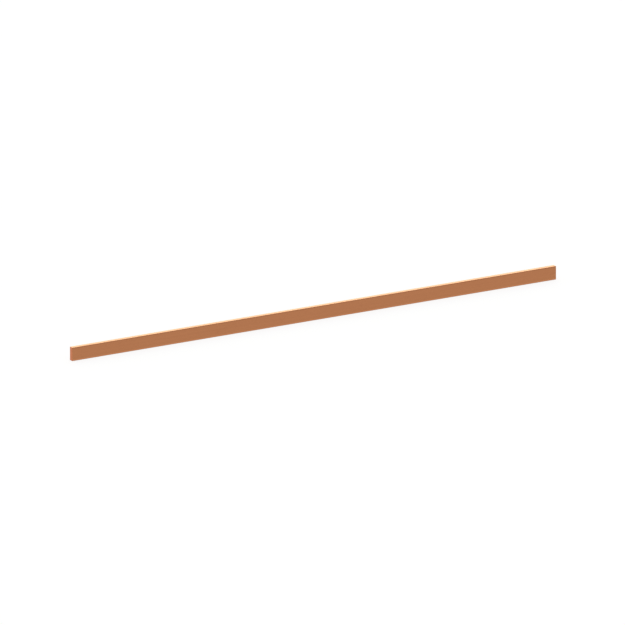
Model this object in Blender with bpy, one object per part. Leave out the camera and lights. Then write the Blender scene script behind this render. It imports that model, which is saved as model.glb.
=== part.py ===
"""Copper busbar: one length of flat copper bar, standing on its narrow edge.

Metres, +Z up. +X runs along the bar, -Y is the front broad face and the origin is the middle of the lower edge.
The bar is drawn through a die, which rounds its four long corners, and sawn to length, and the rim of each sawn
end is filed round.
"""

import math

import bmesh
import bpy

# Driving dimensions, metres
BAR_LENGTH = 1.200
BAR_WIDTH = 0.030  # the broad face, which stands upright
BAR_THICKNESS = 0.010  # the narrow edge, which the bar stands on
CORNER_RADIUS = 0.0005  # of the drawing die, along the four long corners
END_DEBURR = 0.0003  # radius that the file leaves round each sawn end

# Facets across each rounded corner and across each filed rim
CORNER_SEGMENTS = 8
DEBURR_SEGMENTS = 4

# Bare copper, a few weeks after drawing
COPPER_FINISH = {"Base Color": (0.46, 0.19, 0.085, 1.0), "Metallic": 1.0, "Roughness": 0.35}


def clear_scene():
    for obj in list(bpy.data.objects):
        bpy.data.objects.remove(obj)


def copper():
    material = bpy.data.materials.new("copper")
    material.use_nodes = True
    shader = material.node_tree.nodes["Principled BSDF"]
    for name, value in COPPER_FINISH.items():
        shader.inputs[name].default_value = value
    return material


def drawn_section():
    """The die's outline as (y, z) points: a rectangle with an arc at each corner, its lower edge at z = 0."""
    side = BAR_THICKNESS / 2 - CORNER_RADIUS
    low = CORNER_RADIUS
    high = BAR_WIDTH - CORNER_RADIUS
    quarter = math.pi / 2
    arc_centres = [(side, high), (-side, high), (-side, low), (side, low)]
    outline = []
    for corner, (y, z) in enumerate(arc_centres):
        for step in range(CORNER_SEGMENTS + 1):
            angle = quarter * (corner + step / CORNER_SEGMENTS)
            outline.append((y + CORNER_RADIUS * math.cos(angle), z + CORNER_RADIUS * math.sin(angle)))
    return outline


def draw_to_length(bm):
    """Runs the section along X, with its middle at x = 0."""
    left_end = bm.faces.new([bm.verts.new((-BAR_LENGTH / 2, y, z)) for y, z in drawn_section()])
    drawn = bmesh.ops.extrude_face_region(bm, geom=[left_end])
    far_end = [item for item in drawn["geom"] if isinstance(item, bmesh.types.BMVert)]
    bmesh.ops.translate(bm, verts=far_end, vec=(BAR_LENGTH, 0, 0))
    bmesh.ops.recalc_face_normals(bm, faces=bm.faces)


def deburr_ends(bm):
    """Rounds the rim of both sawn ends."""
    rims = [edge for edge in bm.edges if edge.verts[0].co.x == edge.verts[1].co.x]
    bmesh.ops.bevel(
        bm,
        geom=rims,
        offset=END_DEBURR,
        segments=DEBURR_SEGMENTS,
        profile=0.5,
        affect="EDGES",
        clamp_overlap=True,
    )


def copper_busbar():
    bm = bmesh.new()
    draw_to_length(bm)
    deburr_ends(bm)
    mesh = bpy.data.meshes.new("copper_busbar")
    bm.to_mesh(mesh)
    bm.free()
    mesh.shade_smooth()
    mesh.set_sharp_from_angle(angle=math.radians(30))
    mesh.materials.append(copper())
    bar = bpy.data.objects.new("copper_busbar", mesh)
    bpy.context.collection.objects.link(bar)
    return bar


def main():
    clear_scene()
    copper_busbar()


main()
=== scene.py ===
"""Finishes the copper busbar: its fine relief, its copper, a white stage and a camera."""

import math
import random
from collections import namedtuple

import bmesh
import bpy
from bpy.props import FloatProperty, FloatVectorProperty, IntProperty, PointerProperty
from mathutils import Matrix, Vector


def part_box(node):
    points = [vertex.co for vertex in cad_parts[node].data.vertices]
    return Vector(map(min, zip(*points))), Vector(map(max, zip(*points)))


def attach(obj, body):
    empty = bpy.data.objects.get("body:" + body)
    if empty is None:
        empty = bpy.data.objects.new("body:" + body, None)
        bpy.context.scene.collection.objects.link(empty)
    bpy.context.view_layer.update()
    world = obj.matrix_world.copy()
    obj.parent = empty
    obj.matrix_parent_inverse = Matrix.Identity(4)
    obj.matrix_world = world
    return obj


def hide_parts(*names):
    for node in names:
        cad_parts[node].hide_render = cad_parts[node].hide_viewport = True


bl_info = {
    "name": "Copper Busbar",
    "version": (1, 0, 0),
    "blender": (4, 5, 0),
    "location": "View3D > Sidebar > Busbar",
    "description": "Finishes a drawn copper busbar and sets it on a white stage",
    "category": "Object",
}

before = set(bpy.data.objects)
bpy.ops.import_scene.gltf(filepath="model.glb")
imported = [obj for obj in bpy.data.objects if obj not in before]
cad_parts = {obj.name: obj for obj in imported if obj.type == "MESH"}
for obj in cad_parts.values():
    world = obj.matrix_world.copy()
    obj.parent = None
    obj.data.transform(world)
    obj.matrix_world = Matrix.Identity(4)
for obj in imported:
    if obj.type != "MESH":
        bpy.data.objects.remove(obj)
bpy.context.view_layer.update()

NODE = "copper_busbar"
BODY = "root"
LOW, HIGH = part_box(NODE)
MIDDLE = (LOW + HIGH) / 2
SIZE = HIGH - LOW

# Faces of the bar, by the way that they look
FRONT = Vector((0, -1, 0))
REAR = Vector((0, 1, 0))
TOP = Vector((0, 0, 1))
UNDER = Vector((0, 0, -1))
LEFT = Vector((-1, 0, 0))
RIGHT = Vector((1, 0, 0))

# How far from a plane a point may be and still lie on it, in metres
ON_PLANE = 1e-6

# Least share of a normal that points one way: on a flat face that looks that way, and on a sawn end's face
FLAT_SHARE = 0.999
END_SHARE = 0.9

# Angle between two faces over which the edge between them stays sharp
SHARP_ANGLE = math.radians(30)

# Name of the map that the bar's colours are kept on
COLOUR_MAP = "OFBake"

# How far the camera stands from the point that it looks at
CAMERA_DISTANCE = 2 * SIZE.x

# Seed of the random draws for the die lines and the saw marks
DICE_SEED = 30

# Die lines, in units of their pitch: least distance from a rounded corner, distance of the first one beyond
# that, step from one to the next, and half the width of one; then their depth, in units of the deepest
DIE_LINE_MARGIN = 0.55
FIRST_DIE_LINE_RANGE = (0.0, 0.6)
DIE_LINE_STEP_RANGE = (0.45, 1.6)
DIE_LINE_HALF_WIDTH_RANGE = (0.05, 0.14)
DIE_LINE_DEPTH_RANGE = (0.2, 1.0)

# Saw marks: how far the border between two of them strays, in units of their pitch; where the bottom of one
# lies between its borders, from 0 to 1; and their depth, in units of the deepest
SAW_BORDER_RANGE = (-0.25, 0.25)
SAW_BOTTOM_RANGE = (0.35, 0.65)
SAW_DEPTH_RANGE = (0.35, 1.0)

# The grain of a mark: its size along, through and up the bar in metres, and how many finer layers it has
Grain = namedtuple("Grain", "size layers")
HAIR_LINES = Grain(size=(0.6, 0.0003, 0.0003), layers=1.0)
STREAKS = Grain(size=(0.9, 0.0009, 0.0009), layers=1.0)
CLOUDS = Grain(size=(0.09, 0.025, 0.025), layers=4.0)
SMUDGES = Grain(size=(0.014, 0.009, 0.009), layers=3.0)
TOOTH_LINES = Grain(size=(1.0, 0.02, 0.00025), layers=1.0)

# Strength of each finer layer of a grain, as a share of the coarser one's
LAYER_STRENGTH = 0.55

# Noise at which a smudge sets in, and at which it is full
SMUDGE_RANGE = (0.08, 0.22)

# A kind of scratch: its angle to the bar's length, and the size in metres of the patch round each one
ScratchKind = namedtuple("ScratchKind", "angle length width")
SCRATCH_KINDS = (
    ScratchKind(angle=math.radians(2), length=0.12, width=0.001),
    ScratchKind(angle=math.radians(-6), length=0.08, width=0.001),
    ScratchKind(angle=math.radians(13), length=0.06, width=0.0012),
    ScratchKind(angle=math.radians(-31), length=0.04, width=0.0014),
)

# Distance from a scratch's middle at which it sets in, and at which it is full, in units of its patch
SCRATCH_RANGE = (0.1, 0.04)

# Random brightness of a patch at which a scratch shows in it, and at which the scratch is at its strongest
SCRATCHED_PATCH_RANGE = (0.5, 0.9)

# Share of the height of each band of painted shade and painted highlight over which it is full, from the
# bar's edge on
FOOT_CORE = 1 / 2
PAINTED_HIGHLIGHT_CORE = 1 / 2
HEAD_CORE = 1 / 3

# Height in metres that a relief of 1 stands for, and how strongly it shows
RELIEF_HEIGHT = 0.000015
RELIEF_STRENGTH = 0.5

# A kind of mark in the copper: where it is, and how far it darkens the metal with tarnish and painted shade,
# roughens it and raises it there
Mark = namedtuple("Mark", "where tarnish roughness relief", defaults=(0.0, 0.0, 0.0))


class BarSettings(bpy.types.PropertyGroup):
    """Sizes of the relief that drawing, sawing and filing leave on the bar."""

    corner_radius: FloatProperty(
        name="Corner radius",
        description="Rounding of the four long corners, left by the drawing die",
        default=0.0005,
        precision=4,
        unit="LENGTH",
    )
    corner_facets: IntProperty(
        name="Corner facets",
        description="Facets across each rounded corner",
        default=10,
    )
    end_deburr: FloatProperty(
        name="End deburr",
        description="Rounding of the rim of each sawn end, left by the file",
        default=0.0003,
        precision=4,
        unit="LENGTH",
    )
    deburr_facets: IntProperty(
        name="Deburr facets",
        description="Facets across each filed rim",
        default=5,
    )
    map_strips: IntProperty(
        name="Map strips",
        description="Lengths that the flat skin is cut into, so that it fills its square colour map",
        default=4,
    )
    map_gap: FloatProperty(
        name="Map gap",
        description="Clear space between the lengths on the map",
        default=0.002,
        unit="LENGTH",
    )
    die_line_pitch: FloatProperty(
        name="Die line pitch",
        description="About how far apart the lengthwise lines are that the die leaves",
        default=0.0016,
        unit="LENGTH",
    )
    die_line_depth: FloatProperty(
        name="Die line depth",
        description="Depth of the deepest die line",
        default=0.00003,
        precision=6,
        unit="LENGTH",
    )
    saw_pitch: FloatProperty(
        name="Saw mark pitch",
        description="About how far apart the marks are that the saw's teeth leave on an end",
        default=0.0009,
        unit="LENGTH",
    )
    saw_depth: FloatProperty(
        name="Saw mark depth",
        description="Depth of the deepest saw mark",
        default=0.00004,
        precision=6,
        unit="LENGTH",
    )
    saw_margin: FloatProperty(
        name="Saw mark margin",
        description="Width of the smooth band inside each rim, which the file leaves and the marks stop at",
        default=0.00015,
        precision=5,
        unit="LENGTH",
    )
    saw_slant: FloatProperty(
        name="Saw mark slant",
        description="Angle of the saw marks to the bar's narrow side",
        default=math.radians(9),
        subtype="ANGLE",
    )


class CopperSettings(bpy.types.PropertyGroup):
    """Colours, painted highlight and shade, and gloss of the copper."""

    clean: FloatVectorProperty(
        name="Clean copper",
        description="Colour of the drawn faces where the oxide is thinnest",
        subtype="COLOR",
        size=4,
        default=(0.525, 0.22, 0.099, 1.0),
    )
    # This colour is also the one that the painted shade at the edges darkens towards
    tarnish: FloatVectorProperty(
        name="Tarnish",
        description="Colour of the bar where the brown oxide is thickest",
        subtype="COLOR",
        size=4,
        default=(0.244, 0.091, 0.04, 1.0),
    )
    tarnish_share: FloatProperty(
        name="Tarnish share",
        description="How far the drawn faces have gone from clean copper to tarnish",
        default=0.3,
        subtype="FACTOR",
    )
    # Painted highlight tint: the next two settings give both narrow faces a yellower copper, which colours
    # the highlight mirrored in the upper face
    painted_highlight_tint: FloatVectorProperty(
        name="Straw oxide",
        description="Colour of the thinner, yellower oxide on the two narrow faces",
        subtype="COLOR",
        size=4,
        default=(0.45, 0.213, 0.055, 1.0),
    )
    painted_highlight_tint_share: FloatProperty(
        name="Straw share",
        description="How much of the straw oxide the narrow faces show",
        default=0.3,
        subtype="FACTOR",
    )
    sawn: FloatVectorProperty(
        name="Sawn copper",
        description="Colour of the fresh metal on the sawn ends",
        subtype="COLOR",
        size=4,
        default=(0.59, 0.195, 0.08, 1.0),
    )
    sawn_tarnish_share: FloatProperty(
        name="Sawn tarnish share",
        description="How far the sawn ends have gone from fresh metal to tarnish",
        default=0.04,
        subtype="FACTOR",
    )
    # Painted highlight: the next three settings paint a band of brighter copper along the lower edge
    painted_highlight: FloatVectorProperty(
        name="Rubbed copper",
        description="Colour of the metal where rubbing keeps it bright",
        subtype="COLOR",
        size=4,
        default=(0.85, 0.35, 0.15, 1.0),
    )
    painted_highlight_share: FloatProperty(
        name="Rubbed share",
        description="How much of the rubbed copper shows in the band above the foot of the bar",
        default=0.3,
        subtype="FACTOR",
    )
    painted_highlight_height: FloatProperty(
        name="Rubbed height",
        description="How far up from the lower edge the rubbed band reaches",
        default=0.0032,
        precision=4,
        unit="LENGTH",
    )
    # Painted shade: the next setting paints a darker band along the lower edge, where the bar meets the
    # floor
    foot_height: FloatProperty(
        name="Foot height",
        description="How far up from the lower edge the tarnished foot of the bar reaches",
        default=0.0014,
        precision=4,
        unit="LENGTH",
    )
    # Painted shade: the next setting paints a darker band under the upper edge of the broad faces
    head_height: FloatProperty(
        name="Head height",
        description="How far down from the upper edge the broad faces have more tarnish",
        default=0.003,
        precision=4,
        unit="LENGTH",
    )
    roughness: FloatProperty(
        name="Roughness",
        description="Roughness of the drawn faces",
        default=0.34,
        subtype="FACTOR",
    )


class StageSettings(bpy.types.PropertyGroup):
    """Floor, light and camera."""

    floor_side: FloatProperty(
        name="Floor side",
        description="Side of the square floor",
        default=24.0,
        unit="LENGTH",
    )
    floor_shade: FloatProperty(
        name="Floor shade",
        description="How much of the falling light the floor sends back",
        default=0.95,
        subtype="FACTOR",
    )
    floor_shadow: FloatProperty(
        name="Floor shadow",
        description="How much of the bar's shadow the floor keeps",
        default=0.16,
        subtype="FACTOR",
    )
    sky: FloatProperty(
        name="Sky",
        description="Strength of the even white light from all round",
        default=1.0,
    )
    back_light: FloatProperty(
        name="Back light",
        description="Strength of the soft light behind the bar, which its upper edge mirrors",
        default=1.25,
    )
    back_tint: FloatVectorProperty(
        name="Back light tint",
        description="Colour of the light behind the bar",
        subtype="COLOR",
        size=3,
        default=(1.0, 1.0, 0.76),
    )
    back_spread: FloatProperty(
        name="Back light spread",
        description="How wide the light behind the bar is, seen from the bar",
        default=math.radians(60),
        subtype="ANGLE",
    )
    azimuth: FloatProperty(
        name="Camera azimuth",
        description="Where the camera stands, turned from the bar's front towards its left end",
        default=math.radians(30.3),
        subtype="ANGLE",
    )
    elevation: FloatProperty(
        name="Camera elevation",
        description="How far the camera looks down",
        default=math.radians(16.8),
        subtype="ANGLE",
    )
    picture_side: FloatProperty(
        name="Picture side",
        description="Side of the square picture",
        default=625.0,
        subtype="PIXEL",
    )
    bar_left: FloatProperty(
        name="Left end",
        description="Where the bar's outline begins in the picture, from its left side",
        default=69.93,
        subtype="PIXEL",
    )
    bar_right: FloatProperty(
        name="Right end",
        description="Where the bar's outline ends in the picture, from its left side",
        default=556.07,
        subtype="PIXEL",
    )
    bar_height: FloatProperty(
        name="Height of the middle",
        description="Where the bar's middle lies in the picture, from its upper side",
        default=313.06,
        subtype="PIXEL",
    )


class Wire:
    """A shader socket for use in Python expressions. An operator on it adds a Math node."""

    def __init__(self, shader, socket):
        self.shader = shader
        self.socket = socket

    def beside(self, name):
        """Another output of the same node."""
        return Wire(self.shader, self.socket.node.outputs[name])

    def math(self, operation, *others):
        return self.shader.add("ShaderNodeMath", {"operation": operation}, dict(enumerate((self, *others))))

    def __add__(self, other):
        return self.math("ADD", other)

    __radd__ = __add__

    def __mul__(self, other):
        return self.math("MULTIPLY", other)

    __rmul__ = __mul__

    def __sub__(self, other):
        return self.math("SUBTRACT", other)

    def __rsub__(self, other):
        return (self * -1) + other

    def __lt__(self, other):
        return self.math("LESS_THAN", other)

    def __abs__(self):
        return self.math("ABSOLUTE")

    def least(self, other):
        return self.math("MINIMUM", other)

    def most(self, other):
        return self.math("MAXIMUM", other)

    def held(self):
        """Clamped between 0 and 1."""
        return self.most(0.0).least(1.0)

    def rise(self, start, full, interpolation="LINEAR"):
        """0 up to start and 1 from full on, or 1 up to full and 0 from start on where full is the lesser."""
        return self.shader.add(
            "ShaderNodeMapRange",
            {"clamp": True, "interpolation_type": interpolation},
            {"Value": self, "From Min": start, "From Max": full},
            "Result",
        )

    def ease(self, start, full):
        """A rise with a soft beginning and end."""
        return self.rise(start, full, "SMOOTHSTEP")


class Shader:
    """The node tree of a material or a world, emptied for new nodes."""

    def __init__(self, owner):
        owner.use_nodes = True
        self.tree = owner.node_tree
        self.tree.nodes.clear()

    def add(self, kind, settings=None, sockets=None, output=0):
        """Adds a node, sets its settings and then its sockets, and returns one of its outputs as a Wire."""
        node = self.tree.nodes.new(kind)
        for name, value in (settings or {}).items():
            setattr(node, name, value)
        for name, value in (sockets or {}).items():
            if isinstance(value, Wire):
                self.tree.links.new(value.socket, node.inputs[name])
            else:
                node.inputs[name].default_value = value
        return Wire(self, node.outputs[output]) if len(node.outputs) else None

    def blend(self, share, first, second):
        """A colour between two others."""
        # The node's sockets for numbers, vectors and colours share their names, so those in use go by number
        factor, from_colour, to_colour, result = 0, 6, 7, 2
        sockets = {factor: share, from_colour: first, to_colour: second}
        return self.add("ShaderNodeMix", {"data_type": "RGBA"}, sockets, result)

    def turned(self, place, size, turn=(0, 0, 0)):
        """Coordinates in units of size, turned round the axes."""
        sockets = {"Vector": place, "Rotation": turn, "Scale": size}
        return self.add("ShaderNodeMapping", {"vector_type": "TEXTURE"}, sockets)

    def noise(self, place, grain, turn=(0, 0, 0)):
        """Noise from -0.5 to 0.5 with a certain grain."""
        sockets = {
            "Vector": self.turned(place, grain.size, turn),
            "Scale": 1.0,
            "Detail": grain.layers,
            "Roughness": LAYER_STRENGTH,
        }
        return self.add("ShaderNodeTexNoise", {"noise_dimensions": "3D"}, sockets, "Fac") - 0.5

    def scratches(self, unrolled, kind):
        """Scratches of one kind and of uneven strength, each in a patch of its own that may stay empty."""
        patches = self.turned(unrolled, (kind.length, kind.width, 1), (0, 0, kind.angle))
        sockets = {"Vector": patches, "Scale": 1.0}
        away = self.add("ShaderNodeTexVoronoi", {"voronoi_dimensions": "2D"}, sockets, "Distance")
        return away.ease(*SCRATCH_RANGE) * away.beside("Color").ease(*SCRATCHED_PATCH_RANGE)


class Skin:
    """Where a point of the bar's skin is: coordinates in metres, and masks from 0 to 1."""

    def __init__(self, shader, bar, copper):
        self.place = shader.add("ShaderNodeTexCoord", output="Object")
        x = shader.add("ShaderNodeSeparateXYZ", {}, {"Vector": self.place}, "X")
        y = x.beside("Y")
        z = x.beside("Z")
        from_broad = SIZE.y / 2 - abs(y)
        from_narrow = SIZE.z / 2 - abs(z - MIDDLE.z)
        from_corner = from_broad.most(from_narrow)
        from_end = SIZE.x / 2 - abs(x)
        depth = from_broad.least(from_narrow)
        across = z + (y - z) * (from_narrow < from_broad)
        self.unrolled = shader.add("ShaderNodeCombineXYZ", {}, {"X": x, "Y": across}, "Vector")

        # Each mask is 0 at the first distance and 1 at the second
        radius = bar.corner_radius
        rim = bar.end_deburr
        flat = from_corner.rise(radius * 7 / 8, radius)
        self.corner = from_corner.rise(radius, radius / 2)
        self.narrow = from_narrow.rise(radius / 2, radius / 4) * flat
        self.end = from_end.rise(rim, rim / 2)
        self.inside_rims = from_end.rise(rim, rim * 2)
        self.inside_end = depth.rise(rim, rim * 2) * self.end
        self.die_line = depth.rise(0, bar.die_line_depth) * flat * self.inside_rims
        self.saw_mark = from_end.rise(0, bar.saw_depth) * flat * self.end

        from_lower_edge = z - LOW.z
        from_upper_edge = HIGH.z - z
        # Painted highlight: a band of brighter copper along the lower edge, above the painted shade there
        painted_highlight = from_lower_edge.ease(copper.painted_highlight_height, copper.painted_highlight_height * PAINTED_HIGHLIGHT_CORE)
        # Painted shade: a darker band under the upper edge of the broad faces
        head = from_upper_edge.ease(copper.head_height, copper.head_height * HEAD_CORE)
        # Painted shade: a darker band along the lower edge, where the bar meets the floor
        self.foot = from_lower_edge.ease(copper.foot_height, copper.foot_height * FOOT_CORE)
        self.painted_highlight = painted_highlight * (1 - self.foot)
        self.head = head * (1 - self.narrow)


def drawing_marks(shader, skin):
    """What the die leaves: hair lines and streaks along the bar, deeper lines, and smoother corners."""
    return (
        Mark(shader.noise(skin.place, HAIR_LINES), tarnish=0.16, roughness=0.15, relief=1.0),
        Mark(shader.noise(skin.place, STREAKS), tarnish=0.09, roughness=0.1, relief=1.0),
        Mark(skin.die_line, tarnish=0.07, roughness=0.1),
        Mark(skin.corner, roughness=-0.08),
    )


def wear_and_shade_marks(shader, skin, clouds):
    """What air and handling leave: clouds, smudges and bright scratches; and painted shade in bands at the
    foot and under the upper edge.
    """
    smudges = shader.noise(skin.place, SMUDGES).ease(*SMUDGE_RANGE)
    scratches = sum(shader.scratches(skin.unrolled, kind) for kind in SCRATCH_KINDS).held()
    return (
        Mark(clouds, tarnish=0.03, roughness=0.06),
        Mark(smudges, tarnish=0.03, roughness=0.06),
        Mark(scratches, tarnish=-0.3, roughness=0.05, relief=-0.5),
        # Painted shade: darker copper along the lower edge, where the bar meets the floor
        Mark(skin.foot, tarnish=0.35, roughness=0.04),
        # Painted shade: darker copper under the upper edge of the broad faces
        Mark(skin.head, tarnish=0.27),
    )


def sawing_marks(shader, skin, bar):
    """What the saw leaves on an end: fine lines from its teeth, darker marks and a rougher face."""
    tooth_lines = shader.noise(skin.place, TOOTH_LINES, (bar.saw_slant, 0, 0))
    return (
        Mark(tooth_lines, tarnish=0.4, relief=3.0),
        Mark(skin.saw_mark, tarnish=0.18),
        Mark(skin.end, roughness=0.06),
    )


def total(effect, marks):
    """What the marks do together to one property of the metal."""
    weighted = ((mark.where, getattr(mark, effect)) for mark in marks)
    return sum(where * weight for where, weight in weighted if weight)


def copper_finish(bar, copper):
    """Drawn copper: lengthwise lines, thin tarnish, a painted highlight band near the foot, painted shade at
    the edges and fresh sawn ends.
    """
    material = bpy.data.materials.new("drawn_copper")
    shader = Shader(material)
    skin = Skin(shader, bar, copper)
    clouds = shader.noise(skin.place, CLOUDS)
    on_drawn = drawing_marks(shader, skin) + wear_and_shade_marks(shader, skin, clouds)
    on_sawn = sawing_marks(shader, skin, bar)

    tarnish = (copper.tarnish_share + total("tarnish", on_drawn)).held()
    broad = shader.blend(tarnish, copper.clean, copper.tarnish)
    # Painted highlight tint: yellower copper on the narrow faces, for a creamier highlight on the upper face
    drawn = shader.blend(skin.narrow * copper.painted_highlight_tint_share, broad, copper.painted_highlight_tint)
    # Painted highlight: brighter copper in the band above the foot
    painted_highlight = shader.blend(skin.painted_highlight * (1 + clouds) * copper.painted_highlight_share, drawn, copper.painted_highlight)
    sawn_tarnish = (copper.sawn_tarnish_share + total("tarnish", on_sawn)).held()
    sawn = shader.blend(sawn_tarnish, copper.sawn, copper.tarnish)
    colour = shader.blend(skin.end, painted_highlight, sawn)
    roughness = copper.roughness + total("roughness", on_drawn + on_sawn)
    relief = total("relief", on_drawn) * skin.inside_rims + total("relief", on_sawn) * skin.inside_end
    sockets = {"Strength": RELIEF_STRENGTH, "Distance": RELIEF_HEIGHT, "Height": relief}
    bump = shader.add("ShaderNodeBump", {}, sockets, "Normal")
    sockets = {"Base Color": colour, "Metallic": 1.0, "Roughness": roughness, "Normal": bump}
    metal = shader.add("ShaderNodeBsdfPrincipled", {}, sockets, "BSDF")
    shader.add("ShaderNodeOutputMaterial", {}, {"Surface": metal})
    return material


def seen_rays(shader):
    """Two masks: rays from the camera, and rays off shiny metal or through glass."""
    camera = shader.add("ShaderNodeLightPath", output="Is Camera Ray")
    return camera, camera.beside("Is Glossy Ray").most(camera.beside("Is Transmission Ray"))


def floor_finish(stage):
    """White to the camera and in the metal, with a share of the shadow that falls on it."""
    material = bpy.data.materials.new("white_floor")
    # Sampled as a lamp, the floor would be dark for the metal over one half of the bar
    material.cycles.emission_sampling = "NONE"
    shader = Shader(material)
    shade = (stage.floor_shade, stage.floor_shade, stage.floor_shade, 1.0)
    lit = shader.add("ShaderNodeBsdfDiffuse", {}, {"Color": shade}, "BSDF")
    white = shader.add("ShaderNodeEmission", {}, {"Strength": 1.0}, "Emission")
    camera, mirrored = seen_rays(shader)
    plain = (camera * (1 - stage.floor_shadow)).most(mirrored)
    surface = shader.add("ShaderNodeMixShader", {}, {0: plain, 1: lit, 2: white}, "Shader")
    shader.add("ShaderNodeOutputMaterial", {}, {"Surface": surface})
    return material


def sky_light(world, stage):
    """Even white light, which shows as plain white."""
    shader = Shader(world)
    camera, mirrored = seen_rays(shader)
    strength = camera.most(mirrored) * (1 - stage.sky) + stage.sky
    white = (1.0, 1.0, 1.0, 1.0)
    background = shader.add("ShaderNodeBackground", {}, {"Color": white, "Strength": strength}, "Background")
    shader.add("ShaderNodeOutputWorld", {}, {"Surface": background})


def edit_mesh():
    """The mesh that is open in edit mode."""
    return bmesh.from_edit_mesh(bpy.context.object.data)


def select_only(chosen, kind="faces"):
    """In edit mode, selects the faces or edges that chosen is true for, and nothing else."""
    bpy.ops.mesh.select_all(action="DESELECT")
    for item in getattr(edit_mesh(), kind):
        if chosen(item):
            item.select_set(True)
    bmesh.update_edit_mesh(bpy.context.object.data)


def looks(way):
    """A test for the flat faces that look a certain way."""
    return lambda face: face.normal.dot(way) > FLAT_SHARE


def lies_on(place, normal):
    """A test for the edges that lie on a plane."""
    return lambda edge: all(abs((vert.co - place).dot(normal)) < ON_PLANE for vert in edge.verts)


def runs_along_bar(edge):
    """Whether an edge runs from one end of the bar to the other."""
    return abs(edge.verts[0].co.x - edge.verts[1].co.x) > SIZE.x / 2


def show_only(way):
    """Hides all but the flat face that looks a certain way."""
    select_only(looks(way))
    bpy.ops.mesh.hide(unselected=True)


def cut(place, normal):
    """Cuts the faces that show by a plane, and leaves the cut selected."""
    bpy.ops.mesh.select_all(action="SELECT")
    bpy.ops.mesh.bisect(plane_co=place, plane_no=normal, threshold=ON_PLANE)
    if any(face.select for face in edit_mesh().faces):
        raise ValueError("the cutting plane misses the face")


def press_in(way, depth):
    """Presses what is selected into the face that looks a certain way."""
    bpy.ops.transform.translate(value=way * -depth)


def score(way, place, normal, half_width, depth):
    """Scores a line with sloping sides into the face that shows."""
    cut(place - normal * half_width, normal)
    cut(place + normal * half_width, normal)
    cut(place, normal)
    press_in(way, depth)


def add_block(length):
    """Adds a block with the bar's section, and its place and size in its mesh."""
    bpy.ops.object.select_all(action="DESELECT")
    bpy.ops.mesh.primitive_cube_add(size=1, location=MIDDLE, scale=(length, SIZE.y, SIZE.z))
    bpy.ops.object.transform_apply(location=True, rotation=False, scale=True)
    return bpy.context.object


def round_corners(bar):
    """Rounds the four long corners, as the die does."""
    bpy.ops.mesh.select_mode(type="EDGE")
    select_only(runs_along_bar, "edges")
    bpy.ops.mesh.bevel(offset=bar.corner_radius, segments=bar.corner_facets)


def file_rim(bar, way):
    """Rounds the rim of a sawn end: insets its face step by step, each step further out along the arc."""
    bpy.ops.mesh.select_mode(type="FACE")
    select_only(looks(way))
    step = math.pi / 2 / bar.deburr_facets
    for facet in range(bar.deburr_facets):
        start, stop = facet * step, (facet + 1) * step
        bpy.ops.mesh.inset(
            thickness=bar.end_deburr * (math.cos(start) - math.cos(stop)),
            depth=bar.end_deburr * (math.sin(stop) - math.sin(start)),
        )


def die_lines(bar, way, across, width, dice):
    """Lengthwise lines at uneven distances over one drawn face, clear of its rounded corners."""
    show_only(way)
    last = width / 2 - bar.corner_radius - bar.die_line_pitch * DIE_LINE_MARGIN
    at = bar.die_line_pitch * dice.uniform(*FIRST_DIE_LINE_RANGE) - last
    while at < last:
        half_width = bar.die_line_pitch * dice.uniform(*DIE_LINE_HALF_WIDTH_RANGE)
        depth = bar.die_line_depth * dice.uniform(*DIE_LINE_DEPTH_RANGE)
        score(way, MIDDLE + across * at, across, half_width, depth)
        at += bar.die_line_pitch * dice.uniform(*DIE_LINE_STEP_RANGE)
    bpy.ops.mesh.reveal(select=False)


def between_corners(bar, normal):
    """The stretches along the saw marks' normal, measured from the middle, that no rounded corner meets."""
    radius = bar.corner_radius - bar.end_deburr - bar.saw_margin
    sideways = abs(normal.y) * (SIZE.y / 2 - bar.corner_radius)
    upwards = normal.z * (SIZE.z / 2 - bar.corner_radius)
    corners = (-upwards - sideways, sideways - upwards, upwards - sideways, upwards + sideways)
    return [(lower + radius, upper - radius) for lower, upper in zip(corners, corners[1:])]


def saw_marks(bar, way, dice):
    """Nearly parallel grooves over one sawn end. On a corner, the sides of a groove would not stay flat."""
    select_only(looks(way))
    bpy.ops.mesh.inset(thickness=bar.saw_margin, depth=0)
    bpy.ops.mesh.hide(unselected=True)
    slant = bar.saw_slant * way.x
    normal = Vector((0, math.sin(slant), math.cos(slant)))
    bottoms = []
    for low, high in between_corners(bar, normal):
        count = round((high - low) / bar.saw_pitch)
        pitch = (high - low) / count
        inner_borders = [low + pitch * (mark + dice.uniform(*SAW_BORDER_RANGE)) for mark in range(1, count)]
        borders = [low, *inner_borders, high]
        for border in borders:
            cut(MIDDLE + normal * border, normal)
        for start, stop in zip(borders, borders[1:]):
            bottom = MIDDLE + normal * (start + (stop - start) * dice.uniform(*SAW_BOTTOM_RANGE))
            cut(bottom, normal)
            bottoms.append(bottom)
    for bottom in bottoms:
        select_only(lies_on(bottom, normal), "edges")
        press_in(way, bar.saw_depth * dice.uniform(*SAW_DEPTH_RANGE))
    bpy.ops.mesh.reveal(select=False)


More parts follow.
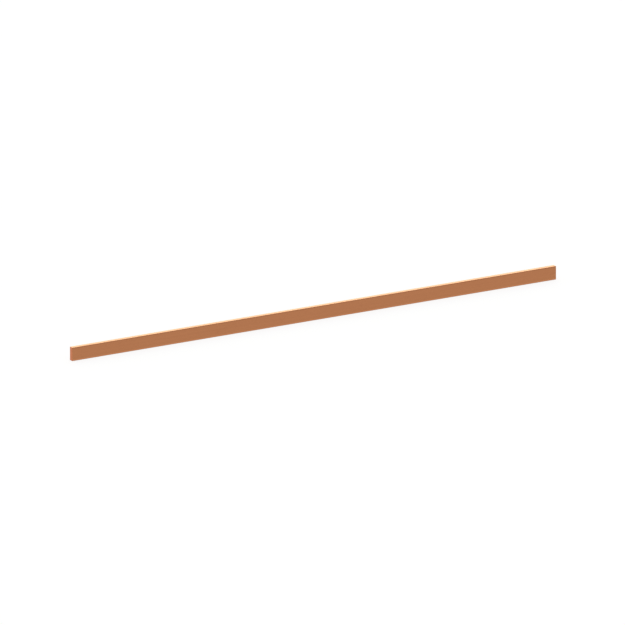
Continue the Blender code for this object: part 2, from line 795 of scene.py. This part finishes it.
class FlatSkin:
    """The bar's skin laid flat on a square map, in metres: lengths of its sides, its ends beside them."""

    def __init__(self, bar):
        self.radius = bar.corner_radius
        self.rim = bar.end_deburr
        self.rim_arc = self.rim * math.pi / 2
        self.gap = bar.map_gap
        self.strips = bar.map_strips
        self.length = SIZE.x / self.strips
        self.half_y = SIZE.y / 2 - self.radius
        self.half_z = SIZE.z / 2 - self.radius
        self.girth = 4 * (self.half_y + self.half_z) + 2 * math.pi * self.radius
        self.ends_left = self.length + self.rim_arc + 2 * self.gap
        self.side = max(self.ends_left + SIZE.y + self.gap, self.strips * (self.girth + self.gap) + self.gap)

    def offset(self, point):
        """The nearest point of the section without its rounding, and the way from it to a point."""
        y, z = point.y, point.z - MIDDLE.z
        core = (min(max(y, -self.half_y), self.half_y), min(max(z, -self.half_z), self.half_z))
        return core, (y - core[0], z - core[1])

    def around(self, point):
        """Distance round the section, from the rear end of the lower flat by way of the front face."""
        (core_y, core_z), (out_y, out_z) = self.offset(point)
        turned = math.atan2(-out_y, -out_z) % math.tau
        # Length of flat face passed, for a point on the lower, front, upper, rear and again the lower face
        flats = (
            self.half_y - core_y,
            2 * self.half_y + self.half_z + core_z,
            3 * self.half_y + 2 * self.half_z + core_y,
            4 * self.half_y + 3 * self.half_z - core_z,
            5 * self.half_y + 4 * self.half_z - core_y,
        )
        return flats[round(turned / (math.pi / 2))] + self.radius * turned

    def along(self, point):
        """Distance along the bar from its middle, with the arc of each filed rim laid flat."""
        straight = SIZE.x / 2 - self.rim
        distance = min(abs(point.x), straight)
        if abs(point.x) > straight - ON_PLANE:
            out_y, out_z = self.offset(point)[1]
            inset = (self.radius - math.hypot(out_y, out_z)) / self.rim
            distance += self.rim * math.acos(min(max(1 - inset, 0), 1))
        return math.copysign(distance, point.x)

    def end_place(self, point, middle):
        """Place of a point of a sawn end, the right end above the left one."""
        looking = math.copysign(1, middle.x)
        across = self.ends_left + SIZE.y / 2 + point.y * looking
        up = self.gap + point.z - LOW.z + (looking > 0) * (SIZE.z + self.gap)
        return across, up

    def side_place(self, point, middle):
        """Place of a point of the bar's sides, in the length that has the middle of its face."""
        strip = min(int((middle.x - LOW.x) / self.length), self.strips - 1)
        across = self.gap + (strip == 0) * self.rim_arc + self.along(point) - LOW.x - strip * self.length
        turns = round((self.around(point) - self.around(middle)) / self.girth)
        up = self.gap + self.around(point) - turns * self.girth + strip * (self.girth + self.gap)
        return across, up


def lay_out_map(bar):
    """Gives the bar the map that its colours are kept on."""
    skin = FlatSkin(bar)
    mesh = edit_mesh()
    layer = mesh.loops.layers.uv.new(COLOUR_MAP)
    for face in mesh.faces:
        middle = face.calc_center_median()
        place = skin.end_place if abs(face.normal.x) > END_SHARE else skin.side_place
        for loop in face.loops:
            across, up = place(loop.vert.co, middle)
            loop[layer].uv = (across / skin.side, up / skin.side)
    bmesh.update_edit_mesh(bpy.context.object.data)


def cut_map_strips(bar):
    """Cuts the long faces where one length of the map ends and the next begins."""
    for strip in range(1, bar.map_strips):
        cut(LOW + RIGHT * (SIZE.x * strip / bar.map_strips), RIGHT)


def shade_faces(piece):
    """Shades the rounded corners and rims smooth, and the flat faces flat."""
    bpy.ops.object.shade_smooth_by_angle(angle=SHARP_ANGLE)
    even = piece.modifiers.new("even_faces", "WEIGHTED_NORMAL")
    even.keep_sharp = True
    bpy.ops.object.modifier_apply(modifier=even.name)


def draw_bar(bar):
    """Models the bar from a block: its rounded corners and rims, its die lines and its saw marks."""
    piece = add_block(SIZE.x - 2 * bar.end_deburr)
    piece.name = piece.data.name = "drawn_bar"
    bpy.ops.object.mode_set(mode="EDIT")
    round_corners(bar)
    for way in (LEFT, RIGHT):
        file_rim(bar, way)
    bpy.ops.mesh.select_mode(type="EDGE")
    dice = random.Random(DICE_SEED)
    for way in (FRONT, REAR):
        die_lines(bar, way, TOP, SIZE.z, dice)
    for way in (TOP, UNDER):
        die_lines(bar, way, FRONT, SIZE.y, dice)
    for way in (LEFT, RIGHT):
        saw_marks(bar, way, dice)
    cut_map_strips(bar)
    lay_out_map(bar)
    bpy.ops.object.mode_set(mode="OBJECT")
    shade_faces(piece)
    return piece


class BUSBAR_OT_draw_bar(bpy.types.Operator):
    """Models the drawn and sawn bar and gives it its copper."""

    bl_idname = "busbar.draw_bar"
    bl_label = "Drawn bar"

    def execute(self, context):
        scene = context.scene
        piece = draw_bar(scene.busbar_bar)
        piece.data.materials.append(copper_finish(scene.busbar_bar, scene.busbar_copper))
        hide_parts(NODE)
        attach(piece, BODY)
        return {"FINISHED"}


def make_floor(stage):
    """A wide floor at the height of the bar's lower edge."""
    bpy.ops.object.select_all(action="DESELECT")
    bpy.ops.mesh.primitive_plane_add(size=stage.floor_side, location=(0, 0, LOW.z))
    floor = bpy.context.object
    floor.name = "floor"
    floor.data.materials.append(floor_finish(stage))


def way_to_camera(stage):
    """The way from the bar to the camera."""
    level = Vector((-math.sin(stage.azimuth), -math.cos(stage.azimuth), 0))
    return level * math.cos(stage.elevation) + TOP * math.sin(stage.elevation)


def make_camera(scene, stage):
    """An orthographic camera that puts the bar's outline where the picture has it."""
    back = way_to_camera(stage)
    right = TOP.cross(back).normalized()
    up = back.cross(right)
    outline = SIZE.x * abs(right.x) + SIZE.y * abs(right.y)
    pixel = outline / (stage.bar_right - stage.bar_left)
    aside = (stage.bar_left + stage.bar_right - stage.picture_side) / 2
    below = stage.bar_height - stage.picture_side / 2
    aim = MIDDLE - right * (aside * pixel) + up * (below * pixel)
    bpy.ops.object.camera_add(location=aim + back * CAMERA_DISTANCE)
    camera = bpy.context.object
    camera.rotation_euler = back.to_track_quat("Z", "Y").to_euler()
    camera.data.type = "ORTHO"
    camera.data.ortho_scale = pixel * stage.picture_side
    scene.camera = camera


def make_back_light(stage):
    """A wide soft sun behind the bar, where the camera sees it mirrored in the upper edge."""
    back = way_to_camera(stage)
    mirrored = Vector((-back.x, -back.y, back.z))
    bpy.ops.object.light_add(type="SUN", rotation=mirrored.to_track_quat("Z", "Y").to_euler())
    light = bpy.context.object
    light.name = "back_light"
    light.data.energy = stage.back_light
    light.data.color = stage.back_tint
    light.data.angle = stage.back_spread


class BUSBAR_OT_set_stage(bpy.types.Operator):
    """Sets the white floor, the light and the camera."""

    bl_idname = "busbar.set_stage"
    bl_label = "Stage"

    def execute(self, context):
        scene = context.scene
        stage = scene.busbar_stage
        make_floor(stage)
        scene.world = bpy.data.worlds.new("white_sky")
        sky_light(scene.world, stage)
        make_back_light(stage)
        make_camera(scene, stage)
        scene.view_settings.view_transform = "Standard"
        return {"FINISHED"}


class VIEW3D_PT_busbar(bpy.types.Panel):
    """Lists the bar's steps and what can be set."""

    bl_idname = "VIEW3D_PT_busbar"
    bl_label = "Copper Busbar"
    bl_space_type = "VIEW_3D"
    bl_region_type = "UI"
    bl_category = "Busbar"

    def draw(self, context):
        for operator, settings in (
            (BUSBAR_OT_draw_bar, (context.scene.busbar_bar, context.scene.busbar_copper)),
            (BUSBAR_OT_set_stage, (context.scene.busbar_stage,)),
        ):
            box = self.layout.box()
            box.operator(operator.bl_idname)
            for group in settings:
                for name in group.__annotations__:
                    box.prop(group, name)


CLASSES = (
    BarSettings,
    CopperSettings,
    StageSettings,
    BUSBAR_OT_draw_bar,
    BUSBAR_OT_set_stage,
    VIEW3D_PT_busbar,
)


def register():
    for cls in CLASSES:
        bpy.utils.register_class(cls)
    bpy.types.Scene.busbar_bar = PointerProperty(type=BarSettings)
    bpy.types.Scene.busbar_copper = PointerProperty(type=CopperSettings)
    bpy.types.Scene.busbar_stage = PointerProperty(type=StageSettings)


def unregister():
    del bpy.types.Scene.busbar_stage
    del bpy.types.Scene.busbar_copper
    del bpy.types.Scene.busbar_bar
    for cls in reversed(CLASSES):
        bpy.utils.unregister_class(cls)


def main():
    register()
    bpy.ops.busbar.set_stage()
    bpy.ops.busbar.draw_bar()


if __name__ == "__main__":
    main()
